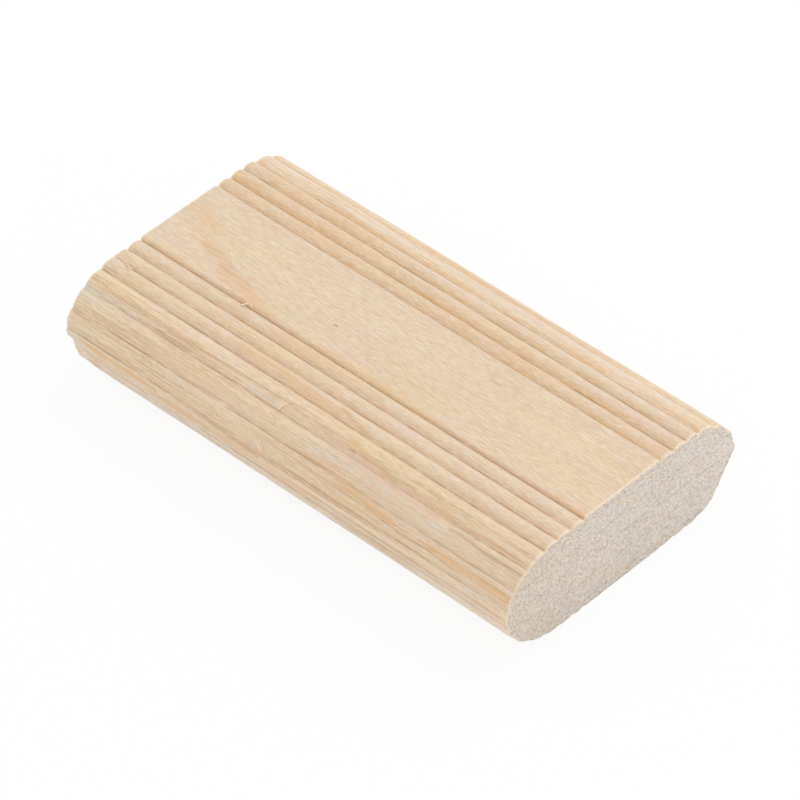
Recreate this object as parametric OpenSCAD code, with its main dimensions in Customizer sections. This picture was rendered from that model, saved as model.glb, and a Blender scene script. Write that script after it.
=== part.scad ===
// Loose tenon: a flat hardwood tongue that is glued into two facing mortises.
// It lies on one face, with its length and grain along X, its width along Y and its thickness along Z.
// The origin is the middle of the face that it lies on. All sizes are in millimetres.

/* [Body] */
// Length, along the grain
length = 40; // [20:0.5:60]
// Width, over the reeds of both rounded edges
width = 22; // [18:0.5:30]
// Thickness, over both faces
thickness = 8; // [6:0.5:12]

/* [Rounded edges] */
// Distance from each long edge at which its rounding starts
edge_run = 4.9; // [4:0.1:6]

/* [Reeds and glue grooves] */
// Width of the plain land down the middle of each face
land_w = 7.3; // [4:0.1:10]
// Spacing of the reeds beside the land
reed_pitch = 1.25; // [1:0.05:1.6]
// Number of reeds round each edge, an odd number so that one sits at its middle
edge_reeds = 7; // [5:2:11]
// Depth of the sharp glue grooves beside the land of the upper face
groove_depth = 0.25; // [0.1:0.05:0.4]
// Depth of the grooves round the upper half of each edge, and of both beside the reed at its middle
edge_groove_depth = 0.15; // [0.05:0.05:0.4]
// Depth of the grooves of the lower half
lower_groove_depth = 0.1; // [0.05:0.05:0.4]

/* [Flat along the lower right edge] */
// Distance from the long edge at which the flat would meet the lower face
flat_run = 2.7; // [2:0.1:4]
// Distance below the middle of the edge at which the flat runs out
flat_below = 0.1; // [0.1:0.1:2]

/* [Hidden] */
// Smoothness of the reeds
$fn = 96;

half_w = width / 2;
half_t = thickness / 2;
half_land = land_w / 2;
// Height above the lower face at which the flat runs out at the long edge
flat_rise = half_t - flat_below;
// Half the width of each face, where the rounding of the edges starts
half_flat = half_w - edge_run;
// Reeds between the land and each edge: the last of them leans over the start of the rounding
face_reeds = ceil((half_flat - half_land) / reed_pitch) + 1;
// Reeds between the land and the one at the middle of the edge
side_reeds = face_reeds + (edge_reeds - 1) / 2;
// Turn of the rounding that each edge reed takes up
reed_turn = (90 - turn(face_reeds)) / (edge_reeds / 2);

// The section is worked out for its right side, with Y across and the height above mid thickness as Z.
// The face is 1 for the upper half and -1 for the lower half, whose heights are counted downwards.
// Grooves are counted from the land: groove 0 is at its foot, and reed k lies between grooves k and k + 1.

// Distance of groove k from the middle of the face, as far as the reeds keep their even pitch
function across(k) = half_land + min(k, face_reeds) * reed_pitch;

// How far the rounding has turned away from the face at groove k, in degrees
function turn(k) = lean(across(k)) + (k > face_reeds ? (k - face_reeds) * reed_turn : 0);

// The turn at a distance y from the middle of the face
function lean(y) = y > half_flat ? asin((y - half_flat) / edge_run) : 0;

// Point over groove k on the smooth outline that the crests of the reeds touch
function outline_at(k) = [
    min(across(k), half_flat) + edge_run * sin(turn(k)),
    half_t * cos(turn(k))
];

// Direction out of that outline over groove k
function outward(k) = unit([sin(turn(k)) / edge_run, cos(turn(k)) / half_t]);

// Depth of groove k
function depth(k, face) =
    k == side_reeds ? edge_groove_depth :
    face < 0 ? lower_groove_depth :
    k > face_reeds ? edge_groove_depth : groove_depth;

// Bottom of groove k
function groove(k, face) = outline_at(k) - depth(k, face) * outward(k);

function unit(v) = v / norm(v);

// A vector turned a quarter to the left
function left_of(v) = [-v.y, v.x];

// The same point counted from mid thickness in the other half
function other_half(v) = [v.x, -v.y];

// Bottom of the groove after reed k: the middle reed of an edge ends in the other half
function next_groove(k, face) = k < side_reeds ? groove(k + 1, face) : other_half(groove(k, -face));

// Each reed is an arc from groove to groove whose crest touches the outline
function chord(k, face) = next_groove(k, face) - groove(k, face);
function chord_middle(k, face) = (groove(k, face) + next_groove(k, face)) / 2;
function rise(k, face) = (outline_at(k + 0.5) - chord_middle(k, face)) * left_of(unit(chord(k, face)));
function reed_radius(k, face) =
    (chord(k, face) * chord(k, face) / 4 + rise(k, face) * rise(k, face)) / (2 * rise(k, face));
function reed_centre(k, face) =
    chord_middle(k, face) + (rise(k, face) - reed_radius(k, face)) * left_of(unit(chord(k, face)));

// One reed, as the circle that its arc belongs to, on the right or the left and on the upper or the lower face
module reed(k, side, face) {
    translate([side * reed_centre(k, face).x, face * reed_centre(k, face).y])
        circle(r = reed_radius(k, face));
}

// All the reeds: those of both faces on both sides, and the one at the middle of each edge
module reeds() {
    for (side = [-1, 1]) {
        for (k = [0 : side_reeds - 1], face = [-1, 1])
            reed(k, side, face);
        reed(side_reeds, side, 1);
    }
}

// The wood behind the reeds: its outline runs through the middles of their circles
module core() {
    lower_half = [for (k = [0 : side_reeds - 1]) other_half(reed_centre(k, -1))];
    upper_half = [for (k = [side_reeds : -1 : 0]) reed_centre(k, 1)];
    right = concat(lower_half, upper_half);
    left = [for (i = [len(right) - 1 : -1 : 0]) [-right[i].x, right[i].y]];
    polygon(concat(right, left));
}

// The plain land of both faces, whose corners are rounded down to the first grooves
module land() {
    for (face = [-1, 1]) {
        corner = depth(0, face);
        corner_y = half_land - corner;
        corner_z = half_t - corner;
        translate([-corner_y, min(0, face * half_t)])
            square([2 * corner_y, half_t]);
        translate([-half_land, min(0, face * corner_z)])
            square([land_w, corner_z]);
        for (y = [-corner_y, corner_y])
            translate([y, face * corner_z])
                circle(r = corner);
    }
}

// What the flat along the lower right edge takes away
module flat_cut() {
    translate([half_w - flat_run, -half_t])
        rotate(atan(flat_rise / flat_run))
            translate([-thickness, -thickness])
                square([3 * thickness, thickness]);
}

module section() {
    difference() {
        union() {
            core();
            land();
            reeds();
        }
        flat_cut();
    }
}

// The whole tenon: one moulded strip, sawn off square at both ends
module tenon() {
    color("burlywood")
        translate([0, 0, half_t])
            rotate([90, 0, 90])
                linear_extrude(height = length, center = true)
                    section();
}

tenon();
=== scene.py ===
"""A loose tenon of bare beech: a moulded strip with reeded edges, sawn off square at both ends.

The CAD piece gives the shape. The script makes the wood that is seen from a merged copy of it: the reeds
get their slight wander, the sawn ends their soft arris and one corner its wear. Fibres are left standing
where the cutter lifted them. Sizes are in millimetres until they meet Blender, which works in metres.
"""
import math

import bpy
from mathutils import Matrix, Vector


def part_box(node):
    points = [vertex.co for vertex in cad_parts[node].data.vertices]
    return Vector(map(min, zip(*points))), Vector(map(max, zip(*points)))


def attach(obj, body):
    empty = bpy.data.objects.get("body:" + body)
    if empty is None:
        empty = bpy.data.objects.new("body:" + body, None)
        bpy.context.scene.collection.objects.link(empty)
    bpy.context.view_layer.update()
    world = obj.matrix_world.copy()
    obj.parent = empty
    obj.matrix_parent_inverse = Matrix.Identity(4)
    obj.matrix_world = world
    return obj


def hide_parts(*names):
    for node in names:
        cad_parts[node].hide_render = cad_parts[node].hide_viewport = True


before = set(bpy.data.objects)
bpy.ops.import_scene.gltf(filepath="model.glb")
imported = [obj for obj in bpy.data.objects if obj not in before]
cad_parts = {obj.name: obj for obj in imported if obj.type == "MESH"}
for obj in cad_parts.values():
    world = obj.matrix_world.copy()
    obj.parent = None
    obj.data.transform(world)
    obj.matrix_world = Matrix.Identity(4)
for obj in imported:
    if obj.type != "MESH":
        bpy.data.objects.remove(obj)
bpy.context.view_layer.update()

MM = 0.001

# ---------------------------------------------------------------------------------------------------- sizes

low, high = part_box("tenon")
HALF_LENGTH = high.x / MM
HALF_WIDTH = round(high.y / MM, 1)   # rounded, because the facets of the edges stop just short of it
THICKNESS = high.z / MM
HALF_THICKNESS = THICKNESS / 2

ARRIS = 0.12             # width of the softened edge round both sawn ends
STATION = 0.25           # spacing of the rings of points along the grain
ROW = 0.34               # spacing of the rows of points across the flat faces
FACET = 0.12             # facets of the reeds wider than this are halved
FLAT_FACE = 1.0          # facets wider than this are flat faces, not parts of a reed
FIRST_BAYS = 8           # bays that the length is first divided into
SAME_POINT = 0.001       # points closer together than this are one
FIBRE_WELD = 0.0001      # the same for the thin loose fibres
GROOVE_REACH = 0.3       # how far from its bottom a glue groove is still felt
SLOPE_REACH = 0.62       # how far the slopes beside a groove reach
SLOPE_WIDTH = 0.05       # how far beside a groove its slope has fully set in
EDGE_RUN = 4.9           # how far from each long edge its rounding starts
FLANK_START = 6.6        # how far from the middle the flanks start
FLANK_BLEND = 1.6        # how wide the faces run into them
UNDERSIDE_START = 4.5    # height at which the underside starts
UNDERSIDE_BLEND = 1.1    # how high the flanks run into it

WORN_CORNER_AT = (-10.75, 2.9)    # middle of the worn corner, across and up
WORN_CORNER_ROUND = 2.0           # how far round it the wear reaches
WORN_CORNER_LONG = 2.4            # how far along the grain it reaches
WORN_INWARDS = 0.45               # how far the wear pushes the wood towards the middle
WORN_UPWARDS = 0.2                # and how far up
BRIDGE_AT = (-6.15, 7.8)          # bottom of the bridged groove, across and up
BRIDGE_ROUND = 0.45               # how far round it the wood stands
BRIDGE_LONG = 2.2                 # how far along the grain
BRIDGE_RISE = 0.16                # how far it stands up
SAW_REACH = 0.35                  # how far from each end the saw left the rim ragged


# --------------------------------------------------------------------------------------------------- camera

def set_camera():
    """A long lens that looks down on the front end from its left."""
    turn = math.radians(44.033)
    height = math.radians(42.953)
    roll = math.radians(-1.118)
    distance = 386.3 * MM
    aside = Vector((-0.2607 * MM, 0.6386 * MM))
    lens = 264.17
    back = Vector((math.sin(turn) * math.cos(height), -math.cos(turn) * math.cos(height), math.sin(height)))
    level = (-back).cross(Vector((0, 0, 1))).normalized()
    upright = level.cross(-back)
    right = math.cos(roll) * level + math.sin(roll) * upright
    up = -math.sin(roll) * level + math.cos(roll) * upright
    middle = Vector((0, 0, HALF_THICKNESS * MM))
    data = bpy.data.cameras.new("camera")
    data.lens = lens
    data.sensor_width = 36.0
    data.clip_start = 0.01
    data.clip_end = 20.0
    camera = bpy.data.objects.new("camera", data)
    bpy.context.scene.collection.objects.link(camera)
    turned = Matrix((right, up, back)).transposed().to_4x4()
    stands = middle - aside.x * right - aside.y * up + distance * back
    camera.matrix_world = Matrix.Translation(stands) @ turned
    bpy.context.scene.camera = camera


set_camera()


# ------------------------------------------------------------------------------------------- shader helpers

def place(tree, kind, inputs=None, **settings):
    """Adds a node. Settings are its own properties, and inputs are values or the sockets that feed it."""
    node = tree.nodes.new(kind)
    for name, value in settings.items():
        setattr(node, name, value)
    for name, value in (inputs or {}).items():
        if isinstance(value, bpy.types.NodeSocket):
            tree.links.new(value, node.inputs[name])
        else:
            node.inputs[name].default_value = value
    return node


def maths(tree, operation, *values, clamp=False):
    """A Math node's result."""
    node = place(tree, "ShaderNodeMath", dict(enumerate(values)), operation=operation, use_clamp=clamp)
    return node.outputs[0]


def vectors(tree, operation, *values):
    """A Vector Math node's outputs."""
    return place(tree, "ShaderNodeVectorMath", dict(enumerate(values)), operation=operation).outputs


def ramp_up(tree, value, start, end):
    """0 below start and 1 above end, with a soft turn at both."""
    node = place(tree, "ShaderNodeMapRange", {"Value": value, "From Min": start, "From Max": end},
                 interpolation_type="SMOOTHSTEP")
    return node.outputs["Result"]


def stretched(tree, position, scale, offset=(0, 0, 0)):
    """The position with its pattern squeezed by scale along each axis."""
    node = place(tree, "ShaderNodeMapping", {"Vector": position, "Scale": scale, "Location": offset})
    return node.outputs[0]


def noise(tree, position, scale, offset=(0, 0, 0), detail=3.0, roughness=0.5, distortion=0.0):
    """Noise with scale features per millimetre along each axis."""
    node = place(tree, "ShaderNodeTexNoise",
                 {"Vector": stretched(tree, position, scale, offset), "Scale": 1.0, "Detail": detail,
                  "Roughness": roughness, "Distortion": distortion})
    return node.outputs["Fac"]


def blend_colour(tree, amount, under, over):
    """The over colour laid on the under colour by amount."""
    node = tree.nodes.new("ShaderNodeMix")
    node.data_type = "RGBA"
    for socket, value in ((node.inputs[0], amount), (node.inputs[6], under), (node.inputs[7], over)):
        if isinstance(value, bpy.types.NodeSocket):
            tree.links.new(value, socket)
        else:
            socket.default_value = value
    return node.outputs[2]


def lay_on(tree, colour, over, mask, strength):
    """The over colour laid on by a mask of the given strength."""
    return blend_colour(tree, maths(tree, "MULTIPLY", mask, strength), colour, over)


def paint(red, green, blue):
    """A colour of 0 to 255 a channel, as Blender's shaders want it."""
    straight = []
    for channel in (red, green, blue):
        share = channel / 255
        straight.append(share / 12.92 if share <= 0.04045 else ((share + 0.055) / 1.055) ** 2.4)
    return (*straight, 1.0)


def new_group(name, inputs, outputs):
    """An empty shader group: inputs and outputs map each socket's name to its kind."""
    tree = bpy.data.node_groups.new(name, "ShaderNodeTree")
    for label, kind in inputs.items():
        tree.interface.new_socket(name=label, in_out="INPUT", socket_type="NodeSocket" + kind)
    for label, kind in outputs.items():
        tree.interface.new_socket(name=label, in_out="OUTPUT", socket_type="NodeSocket" + kind)
    return tree, tree.nodes.new("NodeGroupInput").outputs, tree.nodes.new("NodeGroupOutput").inputs


def use_group(tree, group, inputs):
    """Places a group in a material and gives back its outputs."""
    return place(tree, "ShaderNodeGroup", inputs, node_tree=group).outputs


def own_value(tree, name):
    """A number that the piece holds at its points."""
    return place(tree, "ShaderNodeAttribute", attribute_name=name).outputs["Fac"]


# ------------------------------------------------------------------------------------------ wood, as groups

def growth_rings_group():
    """The tree's rings, nearly level with the wide faces: a band that deepens, and its last line."""
    tree, given, result = new_group("growth_rings", {"Position": "Vector", "Ring Width": "Float"},
                                    {"Band": "Float", "Line": "Float"})
    parts = place(tree, "ShaderNodeSeparateXYZ", {0: given["Position"]}).outputs
    slow = noise(tree, given["Position"], (0.03, 0.11, 0.11), (3.1, 0.4, 7.7), detail=1.0)
    quick = noise(tree, given["Position"], (0.07, 0.5, 0.5), (9.2, 5.5, 1.3), detail=2.0)
    lean = maths(tree, "MULTIPLY_ADD", parts["Y"], 0.03, parts["Z"])
    lean = maths(tree, "MULTIPLY_ADD", parts["X"], -0.012, lean)
    wave = maths(tree, "MULTIPLY_ADD", slow, 2.2, lean)
    wave = maths(tree, "MULTIPLY_ADD", quick, 0.45, wave)
    turn = maths(tree, "FRACT", maths(tree, "DIVIDE", wave, given["Ring Width"]))
    deepen = ramp_up(tree, turn, 0.05, 0.86)
    close = maths(tree, "SUBTRACT", 1.0, ramp_up(tree, turn, 0.9, 1.0))
    tree.links.new(maths(tree, "MULTIPLY", deepen, close), result["Band"])
    rise = ramp_up(tree, turn, 0.8, 0.92)
    tree.links.new(maths(tree, "MULTIPLY", rise, close), result["Line"])
    return tree


def fibres_group():
    """Fibres along the grain: broad streaks, thin parallel lines, and short fine fibres."""
    tree, given, result = new_group("fibres", {"Position": "Vector"},
                                    {"Streaks": "Float", "Lines": "Float", "Fine": "Float"})
    at = given["Position"]
    tree.links.new(noise(tree, at, (0.07, 1.5, 1.5), (0, 2, 5), detail=3.0, roughness=0.6), result["Streaks"])
    tree.links.new(noise(tree, at, (0.13, 9.0, 9.0), (3, 6, 1), detail=1.0, roughness=0.6), result["Lines"])
    tree.links.new(noise(tree, at, (1.6, 15.0, 15.0), (4, 1, 8), detail=1.0, roughness=0.6), result["Fine"])
    return tree


def stroke_group():
    """A soft stroke from its start to its end, Width across, that thins out at both."""
    tree, given, result = new_group("stroke", {"Position": "Vector", "Start": "Vector", "End": "Vector",
                                               "Width": "Float"}, {"Mask": "Float"})
    away = vectors(tree, "SUBTRACT", given["Position"], given["Start"])[0]
    whole = vectors(tree, "SUBTRACT", given["End"], given["Start"])[0]
    reach = vectors(tree, "DOT_PRODUCT", away, whole)["Value"]
    share = maths(tree, "DIVIDE", reach, vectors(tree, "DOT_PRODUCT", whole, whole)["Value"], clamp=True)
    scale = place(tree, "ShaderNodeVectorMath", {0: whole, "Scale": share}, operation="SCALE").outputs[0]
    off = vectors(tree, "LENGTH", vectors(tree, "SUBTRACT", away, scale)[0])["Value"]
    from_ends = maths(tree, "MULTIPLY", share, maths(tree, "SUBTRACT", 1.0, share))
    swell = maths(tree, "MULTIPLY_ADD", maths(tree, "MULTIPLY", from_ends, 8.0, clamp=True), 0.35, 0.3)
    far = maths(tree, "DIVIDE", off, maths(tree, "MULTIPLY", given["Width"], swell))
    tree.links.new(maths(tree, "SUBTRACT", 1.0, ramp_up(tree, far, 0.15, 1.0)), result["Mask"])
    return tree


RINGS = growth_rings_group()
FIBRES = fibres_group()
STROKE = stroke_group()

RING_WIDTH = 1.75        # width of a growth ring
MARK_STRENGTH = 1.25     # strengthens all the single marks alike, of the grain and of painted light


# ------------------------------------------------------------------------------------------------ materials

CREAM = paint(228, 205, 175)
PALE = paint(244, 228, 206)
GREY = paint(226, 212, 190)
TAN = paint(220, 186, 144)
PINK = paint(229, 200, 176)
STRAW = paint(234, 210, 166)
WARM_FLANK_LIGHT = paint(252, 218, 172)
ORANGE = paint(230, 182, 122)
BROWN = paint(186, 146, 104)
SHADE = paint(198, 170, 136)
LATE_WOOD = paint(214, 166, 116)
RIM = paint(252, 232, 204)


def start_material(name):
    """A material with its shader, and the position in millimetres."""
    material = bpy.data.materials.new(name)
    material.use_nodes = True
    tree = material.node_tree
    shader = tree.nodes["Principled BSDF"]
    shader.inputs["Specular IOR Level"].default_value = 0.5
    shader.inputs["Sheen Weight"].default_value = 0.2
    shader.inputs["Sheen Roughness"].default_value = 0.5
    where = tree.nodes.new("ShaderNodeTexCoord").outputs["Object"]
    return material, tree, shader, stretched(tree, where, (1 / MM, 1 / MM, 1 / MM))


def relief(tree, shader, height, depth):
    """Bumps of the given depth in millimetres where height goes from 0 to 1."""
    bump = place(tree, "ShaderNodeBump", {"Height": height, "Strength": 1.0, "Distance": depth * MM})
    tree.links.new(bump.outputs["Normal"], shader.inputs["Normal"])


def wavering(tree, at):
    """The position, moved a little to and fro across the grain, for marks with natural edges."""
    drift = place(tree, "ShaderNodeTexNoise", {"Vector": stretched(tree, at, (0.5, 2.2, 2.2)), "Scale": 1.0,
                                               "Detail": 3.0}).outputs["Color"]
    centred = vectors(tree, "SUBTRACT", drift, (0.5, 0.5, 0.5))[0]
    scaled = vectors(tree, "MULTIPLY", centred, (1.0, 0.45, 0.45))[0]
    return vectors(tree, "ADD", at, scaled)[0]


def skin(along, round_by, lift=0.0):
    """A point on the strip: so far along it, and so far round its skin from the middle of the upper face."""
    side = math.copysign(1, round_by)
    flat = HALF_WIDTH - EDGE_RUN
    rest = abs(round_by) - flat
    if rest <= 0:
        return Vector((along, round_by, THICKNESS + lift))
    turn = 0.0
    step = math.radians(0.25)
    while rest > 0:
        rest -= step * math.hypot(EDGE_RUN * math.cos(turn), HALF_THICKNESS * math.sin(turn))
        turn += step
    out = Vector((0, side * math.sin(turn) / EDGE_RUN, math.cos(turn) / HALF_THICKNESS)).normalized()
    edge = Vector((along, side * (flat + EDGE_RUN * math.sin(turn)), HALF_THICKNESS * (1 + math.cos(turn))))
    return edge + lift * out


def grain_and_light_marks(tree, at, colour, broken):
    """The single marks, of the grain and of painted light, each from its start to its end as (along, round
    the skin).

    Few more will fit in one material: 47 of them have rendered well, and 56 rendered the faces black.
    """

    def mark(over, strength, width, start, end, whole=0.35):
        mask = use_group(tree, STROKE, {"Position": at, "Start": skin(*start), "End": skin(*end),
                                        "Width": width})["Mask"]
        worn = maths(tree, "MULTIPLY_ADD", broken, 1 - whole, whole)
        shown = maths(tree, "MULTIPLY", mask, worn)
        return lay_on(tree, colour, over, shown, min(MARK_STRENGTH * strength, 1.0))

    # Land: an orange patch at the back end, and the flame that runs from it into the first groove
    colour = mark(ORANGE, 0.32, 1.7, (-20.4, 1.4), (-16.6, 0.4))
    colour = mark(ORANGE, 0.28, 1.3, (-17.9, -0.7), (-14.6, -1.4))
    colour = mark(LATE_WOOD, 0.35, 1.1, (-16.4, -1.1), (-12.8, -2.05))
    colour = mark(LATE_WOOD, 0.32, 1.0, (-14.2, -1.8), (-10.9, -2.5))
    colour = mark(ORANGE, 0.3, 0.9, (-12.0, -2.3), (-9.4, -2.95))
    colour = mark(ORANGE, 0.3, 1.4, (-14.0, -2.5), (-8.0, -3.3))
    # Land: a fleck, a short line and pale dashes
    colour = mark(BROWN, 0.7, 0.18, (-4.45, -1.23), (-4.1, -1.23), whole=1)
    colour = mark(LATE_WOOD, 0.6, 0.25, (6.7, 1.82), (7.8, 1.82), whole=0.7)
    colour = mark(RIM, 0.6, 0.15, (14.3, 1.9), (16.1, 1.9), whole=0.6)
    colour = mark(RIM, 0.5, 0.14, (17.1, 1.92), (18.3, 1.92), whole=0.6)
    # The land's left edge
    colour = mark(ORANGE, 0.3, 1.0, (-3.8, -3.4), (7.2, -3.4))
    colour = mark(ORANGE, 0.3, 1.0, (-7.0, -4.25), (3.0, -4.3))
    colour = mark(ORANGE, 0.3, 0.7, (16.6, -3.5), (20.4, -3.5))
    colour = mark(LATE_WOOD, 0.5, 0.35, (-19.4, -3.6), (-15.1, -3.6))
    # Broad streaks of the left edge
    colour = mark(PINK, 0.4, 1.3, (2.0, -8.9), (12.0, -9.6), whole=0.6)
    colour = mark(ORANGE, 0.45, 1.0, (-8.0, -6.6), (2.5, -7.2), whole=0.4)
    colour = mark(STRAW, 0.3, 1.0, (-14.0, -10.0), (-1.0, -10.4), whole=0.5)
    colour = mark(GREY, 0.35, 0.8, (6.0, -10.4), (17.0, -10.5), whole=0.5)
    colour = mark(ORANGE, 0.5, 0.7, (12.0, -11.4), (20.4, -11.5), whole=0.5)
    colour = mark(SHADE, 0.7, 0.4, (13.5, -9.6), (20.4, -9.7), whole=0.6)
    # Left reeds, from the top down
    colour = mark(LATE_WOOD, 0.55, 0.4, (1.4, -6.64), (5.3, -7.42), whole=0.6)
    colour = mark(ORANGE, 0.6, 0.5, (3.6, -8.25), (5.1, -8.3), whole=0.6)
    colour = mark(BROWN, 0.7, 0.22, (4.2, -8.8), (4.8, -8.8), whole=1)
    colour = mark(LATE_WOOD, 0.6, 0.5, (5.0, -8.55), (8.6, -8.9), whole=0.6)
    colour = mark(LATE_WOOD, 0.5, 0.4, (8.2, -8.95), (20.4, -9.0))
    colour = mark(BROWN, 0.55, 0.3, (-15.1, -9.05), (-13.8, -9.05), whole=0.7)
    colour = mark(BROWN, 0.55, 0.3, (-13.6, -9.02), (-10.1, -9.02), whole=0.5)
    colour = mark(LATE_WOOD, 0.6, 0.45, (0.5, -10.75), (4.3, -10.75), whole=0.6)
    colour = mark(ORANGE, 0.6, 0.6, (4.0, -10.95), (9.9, -11.3), whole=0.6)
    colour = mark(BROWN, 0.7, 0.15, (-6.0, -10.9), (-5.8, -10.9), whole=1)
    colour = mark(BROWN, 0.5, 0.2, (7.4, -11.55), (15.4, -11.7), whole=0.6)
    # Painted shade: brown lines along the bottom of a groove low on the left edge
    colour = mark(BROWN, 0.7, 0.3, (-16.4, -12.35), (-9.6, -12.35), whole=0.6)
    colour = mark(BROWN, 0.65, 0.3, (-6.6, -12.35), (2.4, -12.35), whole=0.6)
    colour = mark(BROWN, 0.65, 0.3, (6.4, -12.35), (10.1, -12.35), whole=0.6)
    colour = mark(ORANGE, 0.7, 0.5, (-18.2, -12.75), (-11.3, -12.75), whole=0.6)
    # The bottom of the left edge: orange along its groove, a painted highlight line above it, and grey-white
    # under it, a painted reflection of the white floor
    colour = mark(ORANGE, 0.55, 0.6, (-12.2, -13.1), (3.5, -13.2), whole=0.5)
    colour = mark(LATE_WOOD, 0.5, 0.4, (2.0, -13.0), (20.4, -13.1), whole=0.5)
    colour = mark(RIM, 0.6, 0.35, (-19.0, -13.55), (-4.0, -13.6), whole=0.6)
    colour = mark(RIM, 0.5, 0.3, (-2.0, -12.8), (12.0, -12.8), whole=0.4)
    colour = mark(GREY, 0.6, 0.7, (15.4, -13.4), (16.7, -13.4), whole=0.7)
    # The first groove on the right, where it is broken dark: painted shade of its deeper stretches
    colour = mark(BROWN, 0.7, 0.3, (-11.2, 3.68), (-7.6, 3.68), whole=0.2)
    colour = mark(BROWN, 0.7, 0.3, (-6.9, 3.68), (-1.8, 3.68), whole=0.2)
    return colour


def moulded_beech():
    """The planed and moulded faces, along the grain."""
    material, tree, shader, at = start_material("moulded_beech")
    fibres = use_group(tree, FIBRES, {"Position": at})
    rim = own_value(tree, "rim")
    groove = own_value(tree, "groove")
    slope = own_value(tree, "slope")
    flank = own_value(tree, "flank")
    underside = own_value(tree, "underside")
    parts = place(tree, "ShaderNodeSeparateXYZ", {0: at}).outputs
    loose = wavering(tree, at)

    broad = noise(tree, at, (0.06, 0.3, 0.3), (2, 9, 4), detail=2.0)
    mottle = noise(tree, at, (0.35, 0.8, 0.8), (6, 2, 9), detail=3.0)
    towards_back = ramp_up(tree, parts["X"], 4.0, -14.0)
    colour = lay_on(tree, CREAM, TAN, ramp_up(tree, broad, 0.45, 0.75), 0.35)
    colour = lay_on(tree, colour, GREY, ramp_up(tree, mottle, 0.5, 0.3), 0.35)
    bands = noise(tree, at, (0.1, 0.75, 0.75), (1, 4, 7), detail=2.0)
    colour = lay_on(tree, colour, PINK, ramp_up(tree, bands, 0.52, 0.66), 0.6)
    colour = lay_on(tree, colour, STRAW, ramp_up(tree, bands, 0.48, 0.34), 0.5)
    # Painted light: the flanks lighter and warmer, to make up for the shade they lie in
    colour = lay_on(tree, colour, WARM_FLANK_LIGHT, flank, 0.3)
    # Painted reflection of the white floor: the underside paler and greyer
    colour = lay_on(tree, colour, PALE, underside, 0.7)
    past_land = ramp_up(tree, parts["Y"], 3.5, 4.2)
    short_of_edge = ramp_up(tree, parts["Y"], 8.4, 7.2)
    right_reeds = maths(tree, "MULTIPLY", past_land, short_of_edge)
    warm_reeds = maths(tree, "MULTIPLY", right_reeds, ramp_up(tree, broad, 0.3, 0.6))
    colour = lay_on(tree, colour, ORANGE, warm_reeds, 0.3)

    # Painted shade on the slopes that face the left of the strip, tan with patchy orange on the right;
    # painted highlight on the others, pale
    patch = noise(tree, at, (0.25, 0.9, 0.9), (5, 5, 1), detail=3.0, roughness=0.6)
    shaded_slope = ramp_up(tree, slope, 0.52, 1.0)
    lit_slope = ramp_up(tree, slope, 0.48, 0.0)
    right_side = ramp_up(tree, parts["Y"], 2.8, 3.6)
    orange = maths(tree, "MULTIPLY", shaded_slope, maths(tree, "MULTIPLY_ADD", right_side, 0.6, 0.3))
    colour = lay_on(tree, colour, TAN, shaded_slope, 0.35)
    patchy = maths(tree, "MULTIPLY", orange, ramp_up(tree, patch, 0.38, 0.62))
    colour = lay_on(tree, colour, ORANGE, patchy, 1.0)
    colour = lay_on(tree, colour, PALE, lit_slope, 0.3)

    # Broad streaks and thin lines show on the flanks, where the rings run out
    streaks = fibres["Streaks"]
    deep = maths(tree, "MULTIPLY_ADD", flank, 0.9, 0.1)
    dark_streaks = maths(tree, "MULTIPLY", ramp_up(tree, streaks, 0.5, 0.66), deep)
    colour = lay_on(tree, colour, TAN, dark_streaks, 1.0)
    grey_streaks = maths(tree, "MULTIPLY", ramp_up(tree, streaks, 0.46, 0.34), deep)
    colour = lay_on(tree, colour, GREY, grey_streaks, 0.8)
    lines = fibres["Lines"]
    drawn = maths(tree, "MULTIPLY_ADD", flank, maths(tree, "MULTIPLY_ADD", towards_back, 0.22, 0.12), 0.08)
    colour = lay_on(tree, colour, BROWN, maths(tree, "MULTIPLY", ramp_up(tree, lines, 0.5, 0.68), drawn), 1.0)
    colour = lay_on(tree, colour, RIM, maths(tree, "MULTIPLY", ramp_up(tree, lines, 0.5, 0.32), drawn), 1.0)

    colour = lay_on(tree, colour, SHADE, ramp_up(tree, fibres["Fine"], 0.5, 0.66), 0.33)
    colour = lay_on(tree, colour, PALE, ramp_up(tree, fibres["Fine"], 0.5, 0.34), 0.42)

    # Glue grooves: painted shade, a thin brown line at the bottom, broken along its length
    broken = noise(tree, at, (0.45, 0.6, 0.6), (1, 8, 3), detail=4.0, roughness=0.65)
    line = maths(tree, "MULTIPLY", ramp_up(tree, groove, 0.62, 0.97), ramp_up(tree, broken, 0.3, 0.68))
    beside_land = ramp_up(tree, maths(tree, "ABSOLUTE", parts["Y"]), 4.4, 3.9)
    line = maths(tree, "MULTIPLY", line, maths(tree, "MULTIPLY_ADD", beside_land, -0.45, 0.75))
    colour = lay_on(tree, colour, BROWN, line, 1.0)
    colour = grain_and_light_marks(tree, loose, colour, ramp_up(tree, fibres["Lines"], 0.4, 0.6))

    # Painted highlight on the soft arris round both sawn ends
    colour = lay_on(tree, colour, RIM, rim, 0.6)
    tree.links.new(colour, shader.inputs["Base Color"])

    rough = maths(tree, "MULTIPLY_ADD", fibres["Fine"], 0.2, 0.42)
    tree.links.new(rough, shader.inputs["Roughness"])
    height = maths(tree, "MULTIPLY_ADD", fibres["Lines"], 0.6, fibres["Fine"])
    relief(tree, shader, height, 0.018)
    return material


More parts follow.
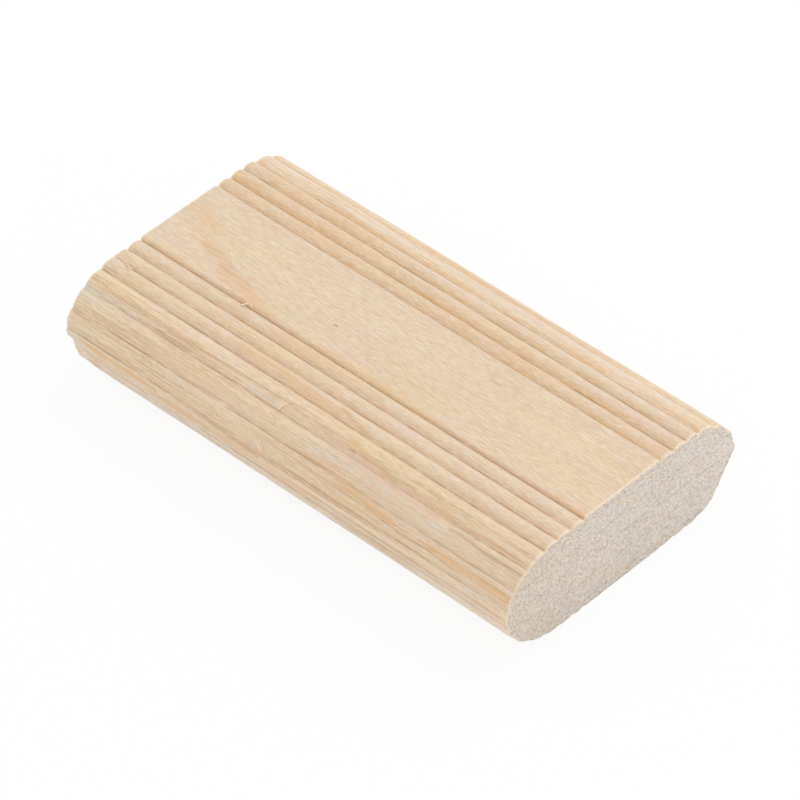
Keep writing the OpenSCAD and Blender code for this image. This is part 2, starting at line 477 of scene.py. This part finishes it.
def sawn_beech():
    """The sawn end grain: open pores, ring lines and torn specks, with a painted highlight on the rim where
    it meets the skin.
    """
    material, tree, shader, at = start_material("sawn_beech")
    rings = use_group(tree, RINGS, {"Position": at, "Ring Width": RING_WIDTH})
    rim = own_value(tree, "rim")
    parts = place(tree, "ShaderNodeSeparateXYZ", {0: at}).outputs

    grey = paint(231, 220, 208)
    dark = paint(178, 162, 146)
    pale = paint(250, 244, 236)
    warm = paint(236, 216, 194)

    spread = stretched(tree, at, (2.0, 4.5, 4.5))
    pores = place(tree, "ShaderNodeTexVoronoi", {"Vector": spread, "Scale": 1.0})
    open_pore = maths(tree, "SUBTRACT", 1.0, ramp_up(tree, pores.outputs["Distance"], 0.1, 0.5))
    grit = noise(tree, at, (4.2, 4.2, 5.0), (2, 2, 2), detail=3.0, roughness=0.75, distortion=0.8)
    cloudy = noise(tree, at, (0.3, 0.5, 0.8), (8, 1, 1), detail=2.0)
    colour = lay_on(tree, grey, warm, rings["Band"], 0.2)
    colour = lay_on(tree, colour, dark, rings["Line"], 0.3)
    colour = lay_on(tree, colour, warm, ramp_up(tree, cloudy, 0.42, 0.66), 0.45)
    colour = lay_on(tree, colour, PINK, ramp_up(tree, parts["Y"], 1.0, -9.0), 0.22)
    colour = lay_on(tree, colour, dark, open_pore, 0.22)
    colour = lay_on(tree, colour, pale, ramp_up(tree, grit, 0.5, 0.36), 0.62)
    colour = lay_on(tree, colour, dark, ramp_up(tree, grit, 0.5, 0.64), 0.42)
    # Painted highlight on the rim, left off near the floor
    off_the_floor = ramp_up(tree, parts["Z"], 0.6, 2.6)
    colour = lay_on(tree, colour, RIM, maths(tree, "MULTIPLY", rim, off_the_floor), 0.85)
    tree.links.new(colour, shader.inputs["Base Color"])
    tree.links.new(maths(tree, "MULTIPLY_ADD", grit, 0.1, 0.75), shader.inputs["Roughness"])
    height = maths(tree, "MULTIPLY_ADD", open_pore, -0.6, grit)
    relief(tree, shader, height, 0.08)
    return material


def loose_fibre_beech():
    """Torn fibres, paler than the face that they stand on."""
    material, tree, shader, at = start_material("loose_fibre_beech")
    tint = noise(tree, at, (1.0, 1.0, 1.0), detail=1.0)
    colour = blend_colour(tree, tint, paint(255, 236, 208), paint(250, 220, 176))
    tree.links.new(colour, shader.inputs["Base Color"])
    shader.inputs["Roughness"].default_value = 0.6
    return material


MOULDED = moulded_beech()
SAWN = sawn_beech()
LOOSE = loose_fibre_beech()


# ---------------------------------------------------------------------------------------- modelling helpers

def choose_only(piece):
    """Makes piece the one selected and active object."""
    bpy.ops.object.select_all(action="DESELECT")
    piece.select_set(True)
    bpy.context.view_layer.objects.active = piece


def pick(piece, kind, wanted):
    """In edit mode, selects only the points, edges or faces that wanted says yes to."""
    bpy.ops.mesh.select_mode(type=kind)
    bpy.ops.mesh.select_all(action="DESELECT")
    bpy.ops.object.mode_set(mode="OBJECT")
    data = piece.data
    items = {"VERT": data.vertices, "EDGE": data.edges, "FACE": data.polygons}[kind]
    for item in items:
        item.select = wanted(item)
    bpy.ops.object.mode_set(mode="EDIT")


def apply_modifiers(piece):
    """Applies what has been added to the piece, in order."""
    choose_only(piece)
    for name in [modifier.name for modifier in piece.modifiers]:
        bpy.ops.object.modifier_apply(modifier=name)


def edge_run_of(data, edge):
    """The vector along an edge, in millimetres."""
    first, second = (data.vertices[index].co for index in edge.vertices)
    return (second - first) / MM


# ---------------------------------------------------------------------------------------------- the strip

def copy_cad_piece(name, node):
    """A merged copy of a CAD node's mesh, with its flat triangles joined into whole faces."""
    piece = bpy.data.objects.new(name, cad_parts[node].data.copy())
    bpy.context.scene.collection.objects.link(piece)
    choose_only(piece)
    bpy.ops.object.mode_set(mode="EDIT")
    bpy.ops.mesh.select_all(action="SELECT")
    bpy.ops.mesh.customdata_custom_splitnormals_clear()
    bpy.ops.mesh.remove_doubles(threshold=SAME_POINT * MM)
    bpy.ops.mesh.dissolve_limited(angle_limit=math.radians(0.5))
    bpy.ops.object.mode_set(mode="OBJECT")
    return piece


def find_grooves(piece):
    """The bottoms of the glue grooves in the section, as (y, z), and which way each opens."""
    front = next(face for face in piece.data.polygons if face.normal.x > 0.9)
    ring = [piece.data.vertices[index].co / MM for index in front.vertices]
    grooves = []
    for index, here in enumerate(ring):
        into = here - ring[index - 1]
        onward = ring[(index + 1) % len(ring)] - here
        bend = math.atan2(into.y * onward.z - into.z * onward.y, into.y * onward.y + into.z * onward.z)
        if bend < math.radians(-15):
            opens = (into.normalized() - onward.normalized()).normalized()
            grooves.append((here.yz, -opens.yz))
    return grooves


def cut_edges(piece, wanted, parts):
    """Divides the wanted edges, and the faces between them, into that many equal parts."""
    bpy.ops.object.mode_set(mode="EDIT")
    pick(piece, "EDGE", wanted)
    bpy.ops.mesh.subdivide(number_cuts=parts - 1, quadcorner="INNERVERT")
    bpy.ops.object.mode_set(mode="OBJECT")


def cut_into_stations(piece):
    """Finer facets round the reeds, rows of points across the flat faces, and rings along the grain."""
    data = piece.data

    def across(edge, shortest, longest):
        run = edge_run_of(data, edge)
        return abs(run.x) < SAME_POINT and shortest < run.length < longest

    wide = [edge_run_of(data, edge).length for edge in data.edges if across(edge, FLAT_FACE, THICKNESS)]
    cut_edges(piece, lambda edge: across(edge, FACET, FLAT_FACE), 2)
    cut_edges(piece, lambda edge: across(edge, FLAT_FACE, THICKNESS), round(max(wide) / ROW))
    cut_edges(piece, lambda edge: abs(edge_run_of(data, edge).x) > HALF_LENGTH, FIRST_BAYS)
    bay = 2 * HALF_LENGTH / FIRST_BAYS
    cut_edges(piece, lambda edge: abs(edge_run_of(data, edge).x) > bay / 2, round(bay / STATION))


def is_sawn_face(face):
    """Whether a face is the whole of a sawn end."""
    return abs(face.normal.x) > 0.9 and len(face.vertices) > 8


def soften_sawn_ends(piece):
    """A narrow rounded edge round both ends, left by the saw and the hand."""
    for share in (0.4, 0.6):
        bpy.ops.object.mode_set(mode="EDIT")
        pick(piece, "FACE", is_sawn_face)
        bpy.ops.mesh.inset(thickness=share * ARRIS * MM, use_boundary=True, use_even_offset=True)
        bpy.ops.object.mode_set(mode="OBJECT")
    data = piece.data
    inner = {index for face in data.polygons if is_sawn_face(face) for index in face.vertices}
    end_faces = [set(face.vertices) for face in data.polygons if abs(face.normal.x) > 0.9]
    middle = set().union(*(corners for corners in end_faces if corners & inner)) - inner
    outer = set().union(*end_faces) - middle - inner
    for ring, inwards in ((outer, 1.0), (middle, 0.3)):
        for side in (-1, 1):
            bpy.ops.object.mode_set(mode="EDIT")
            pick(piece, "VERT", lambda point: point.index in ring and point.co.x * side > 0)
            bpy.ops.transform.translate(value=(-side * inwards * ARRIS * MM, 0, 0))
            bpy.ops.object.mode_set(mode="OBJECT")
    rim = outer | middle
    hold_number(piece, "rim", lambda point: 1.0 if point.index in rim else 0.0)


def hold_number(piece, name, value_at):
    """Holds a number at each point of the piece, for its material to read."""
    values = [value_at(point) for point in piece.data.vertices]
    piece.data.attributes.new(name, "FLOAT", "POINT").data.foreach_set("value", values)


def hold_values(piece, grooves):
    """What the wood is painted by, painted shade and light among it: nearness to a groove, its slopes, the
    flanks and the underside.
    """

    def nearest(here):
        bottom, opens = min(grooves, key=lambda pair: (here - pair[0]).length)
        return here - bottom, opens

    def groove(point):
        away = nearest(point.co.yz / MM)[0]
        return max(1 - away.length / GROOVE_REACH, 0.0)

    def slope(point):
        away, opens = nearest(point.co.yz / MM)
        side = max(-1.0, min(1.0, (away.x * opens.y - away.y * opens.x) / SLOPE_WIDTH))
        return 0.5 + 0.5 * side * max(1 - away.length / SLOPE_REACH, 0.0)

    def flank(point):
        return max(0.0, min(1.0, (abs(point.co.y) / MM - FLANK_START) / FLANK_BLEND))

    def underside(point):
        return max(0.0, min(1.0, (UNDERSIDE_START - point.co.z / MM) / UNDERSIDE_BLEND))

    hold_number(piece, "groove", groove)
    hold_number(piece, "slope", slope)
    hold_number(piece, "flank", flank)
    hold_number(piece, "underside", underside)


def roughen(piece, name, wavelength, strength, group, direction="NORMAL", level=0.5):
    """Moves a vertex group's points by a cloudy pattern, with waves of the given lengths along X, Y and Z."""
    pattern = bpy.data.textures.new(name, "CLOUDS")
    pattern.noise_scale = 1.0
    pattern.noise_depth = 2
    guide = bpy.data.objects.new(name + "_guide", None)
    bpy.context.scene.collection.objects.link(guide)
    guide.scale = [length * MM for length in wavelength]
    bpy.context.view_layer.update()
    move = piece.modifiers.new(name, "DISPLACE")
    move.texture = pattern
    move.texture_coords = "OBJECT"
    move.texture_coords_object = guide
    move.direction = direction
    move.strength = strength * MM
    move.mid_level = level
    move.vertex_group = group
    apply_modifiers(piece)
    bpy.data.objects.remove(guide)
    bpy.data.textures.remove(pattern)


def shift(piece, name, group, direction, distance):
    """Moves the points of a vertex group by a distance in millimetres."""
    move = piece.modifiers.new(name, "DISPLACE")
    move.direction = direction
    move.strength = distance * MM
    move.mid_level = 0.0
    move.vertex_group = group
    apply_modifiers(piece)


def weigh(piece, name, share):
    """A vertex group that holds each point by its share, from 0 to 1."""
    group = piece.vertex_groups.new(name=name)
    for point in piece.data.vertices:
        weight = share(point.co / MM)
        if weight > 0:
            group.add([point.index], weight, "REPLACE")


def clear_of_bench(point):
    """0 on the face that the tenon lies on, 1 above it."""
    return 0.0 if point.z < 0.02 else 1.0


def fall_off(distance, reach):
    """1 at no distance, falling smoothly to 0 at the reach."""
    share = max(0.0, 1 - distance / reach)
    return share * share * (3 - 2 * share)


def worn_corner(point):
    """The back end of the lowest reed on the left, where it broke away."""
    across = math.hypot(point.y - WORN_CORNER_AT[0], point.z - WORN_CORNER_AT[1])
    return fall_off(across, WORN_CORNER_ROUND) * fall_off(point.x + HALF_LENGTH, WORN_CORNER_LONG)


def sawn_rim(point):
    """The rim of both ends, ragged from the saw, except where it meets the bench."""
    return clear_of_bench(point) * max(0.0, 1 - (HALF_LENGTH - abs(point.x)) / SAW_REACH)


def bridged_groove(point):
    """The back end of the third groove on the left, where its wood stayed standing."""
    across = math.hypot(point.y - BRIDGE_AT[0], point.z - BRIDGE_AT[1])
    return fall_off(across, BRIDGE_ROUND) * fall_off(point.x + HALF_LENGTH, BRIDGE_LONG)


def wood_strip():
    """The whole tenon."""
    piece = copy_cad_piece("tenon_wood", "tenon")
    grooves = find_grooves(piece)
    cut_into_stations(piece)
    soften_sawn_ends(piece)
    hold_values(piece, grooves)
    weigh(piece, "above_bench", clear_of_bench)
    weigh(piece, "worn_corner", worn_corner)
    weigh(piece, "bridged_groove", bridged_groove)
    weigh(piece, "sawn_rim", sawn_rim)
    shift(piece, "wear", "worn_corner", "Y", WORN_INWARDS)
    shift(piece, "lift", "worn_corner", "Z", WORN_UPWARDS)
    shift(piece, "bridge", "bridged_groove", "Z", BRIDGE_RISE)
    roughen(piece, "wander", (4.0, 5.0, 5.0), 0.05, "above_bench", direction="Y")
    roughen(piece, "swell", (2.5, 0.7, 0.7), 0.04, "above_bench", level=1.0)
    roughen(piece, "saw", (0.25, 0.3, 0.3), 0.09, "sawn_rim", direction="X")
    data = piece.data
    data.materials.clear()
    data.materials.append(MOULDED)
    data.materials.append(SAWN)
    for face in data.polygons:
        face.material_index = 1 if abs(face.center.x) / MM > HALF_LENGTH - ARRIS else 0
    choose_only(piece)
    bpy.ops.object.shade_smooth_by_angle(angle=math.radians(35))
    piece.vertex_groups.clear()
    return piece


strip = wood_strip()
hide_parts("tenon")
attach(strip, "root")


# --------------------------------------------------------------------------------------------- loose fibres

def loose_fibre(name, thickness, *places):
    """A torn fibre through places as (along, round the skin, above it), which thins out towards its end."""
    data = bpy.data.curves.new(name, "CURVE")
    data.dimensions = "3D"
    data.bevel_depth = thickness / 2 * MM
    data.bevel_resolution = 1
    data.resolution_u = 3
    data.use_fill_caps = True
    line = data.splines.new("BEZIER")
    line.bezier_points.add(len(places) - 1)
    for index, (point, spot) in enumerate(zip(line.bezier_points, places)):
        point.co = skin(*spot) * MM
        point.handle_left_type = "AUTO"
        point.handle_right_type = "AUTO"
        point.radius = 1 - 0.7 * index / (len(places) - 1)
    fibre = bpy.data.objects.new(name, data)
    bpy.context.scene.collection.objects.link(fibre)
    choose_only(fibre)
    bpy.ops.object.convert(target="MESH")
    return fibre


def loose_fibres():
    """The fibres that the cutter left standing, all rooted in the left side."""
    torn = {
        "stick": (0.16, (-1.98, -9.1, -0.05), (-1.8, -8.75, 0.12), (-1.55, -8.3, 0.18)),
        "wave": (0.12, (-2.5, -9.45, -0.05), (-2.3, -9.75, 0.12), (-2.0, -9.7, 0.14), (-1.65, -10.0, 0.12)),
        "droop": (0.1, (-2.05, -11.4, -0.05), (-1.95, -11.8, 0.14), (-1.8, -12.3, 0.06)),
        "second_droop": (0.09, (-1.85, -11.5, -0.05), (-1.74, -11.9, 0.12), (-1.66, -12.35, 0.06)),
        "curl": (0.13, (-10.15, -4.0, 0.0), (-10.0, -3.7, 0.05), (-9.7, -3.58, 0.05), (-9.4, -3.7, 0.03)),
        "fuzz": (0.09, (-6.15, -11.55, -0.05), (-5.95, -11.75, 0.12), (-5.7, -11.66, 0.12)),
        "hook": (0.11, (-18.7, -6.1, -0.1), (-18.45, -6.24, 0.06), (-18.15, -6.3, 0.05), (-18.0, -6.12, 0)),
    }
    fibres = [loose_fibre(name, *shape) for name, shape in torn.items()]
    bpy.ops.object.select_all(action="DESELECT")
    for fibre in fibres:
        fibre.select_set(True)
    bpy.context.view_layer.objects.active = fibres[0]
    bpy.ops.object.join()
    piece = bpy.context.object
    piece.name = "loose_fibres"
    bpy.ops.object.mode_set(mode="EDIT")
    bpy.ops.mesh.select_all(action="SELECT")
    bpy.ops.mesh.remove_doubles(threshold=FIBRE_WELD * MM)
    bpy.ops.mesh.normals_make_consistent(inside=False)
    bpy.ops.object.mode_set(mode="OBJECT")
    bpy.ops.object.shade_smooth()
    piece.data.materials.clear()
    piece.data.materials.append(LOOSE)
    return piece


fibres_piece = loose_fibres()
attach(fibres_piece, "root")


# ------------------------------------------------------------------------------------------ floor and light

def floor_material():
    """A white floor that keeps a light shadow: seen directly it is mostly white of itself."""
    material = bpy.data.materials.new("white_floor")
    material.use_nodes = True
    tree = material.node_tree
    tree.nodes.clear()
    lit = place(tree, "ShaderNodeBsdfDiffuse", {"Color": (0.95, 0.95, 0.95, 1)}).outputs[0]
    lit_white = place(tree, "ShaderNodeBsdfDiffuse", {"Color": (0.98, 0.98, 0.98, 1)}).outputs[0]
    white = place(tree, "ShaderNodeEmission", {"Color": (1, 1, 1, 1), "Strength": 1.0}).outputs[0]
    seen = place(tree, "ShaderNodeMixShader", {0: 0.9, 1: lit_white, 2: white}).outputs[0]
    rays = tree.nodes.new("ShaderNodeLightPath").outputs
    direct = maths(tree, "MAXIMUM", rays["Is Camera Ray"], rays["Is Glossy Ray"])
    direct = maths(tree, "MAXIMUM", direct, rays["Is Transmission Ray"])
    shown = place(tree, "ShaderNodeMixShader", {0: direct, 1: lit, 2: seen}).outputs[0]
    place(tree, "ShaderNodeOutputMaterial", {"Surface": shown})
    return material


def lay_floor():
    """A wide plain floor that the tenon lies on."""
    bpy.ops.mesh.primitive_plane_add(size=6.0, location=(0, 0, 0))
    floor = bpy.context.object
    floor.name = "floor"
    floor.data.materials.append(floor_material())


def hang_lamp(name, place_mm, size_mm, power):
    """A square soft lamp that looks at the tenon."""
    data = bpy.data.lights.new(name, "AREA")
    data.shape = "SQUARE"
    data.size = size_mm * MM
    data.energy = power
    lamp = bpy.data.objects.new(name, data)
    bpy.context.scene.collection.objects.link(lamp)
    lamp.location = Vector(place_mm) * MM
    lamp.rotation_euler = lamp.location.to_track_quat("Z", "Y").to_euler()


def light_world():
    """Even light from all round, and a white backdrop where the sky is seen directly."""
    world = bpy.data.worlds.new("studio")
    bpy.context.scene.world = world
    world.use_nodes = True
    tree = world.node_tree
    tree.nodes.clear()
    light = place(tree, "ShaderNodeBackground", {"Color": (1, 1, 1, 1), "Strength": 0.86}).outputs[0]
    white = place(tree, "ShaderNodeBackground", {"Color": (1, 1, 1, 1), "Strength": 1.0}).outputs[0]
    rays = tree.nodes.new("ShaderNodeLightPath").outputs
    shown = place(tree, "ShaderNodeMixShader", {0: rays["Is Camera Ray"], 1: light, 2: white}).outputs[0]
    place(tree, "ShaderNodeOutputWorld", {"Surface": shown})


LAMP_PLACE = (60, 420, 460)
LAMP_SIZE = 420
LAMP_POWER = 0.9         # watts

lay_floor()
light_world()
hang_lamp("key_lamp", LAMP_PLACE, LAMP_SIZE, LAMP_POWER)
bpy.context.scene.view_settings.view_transform = "Standard"
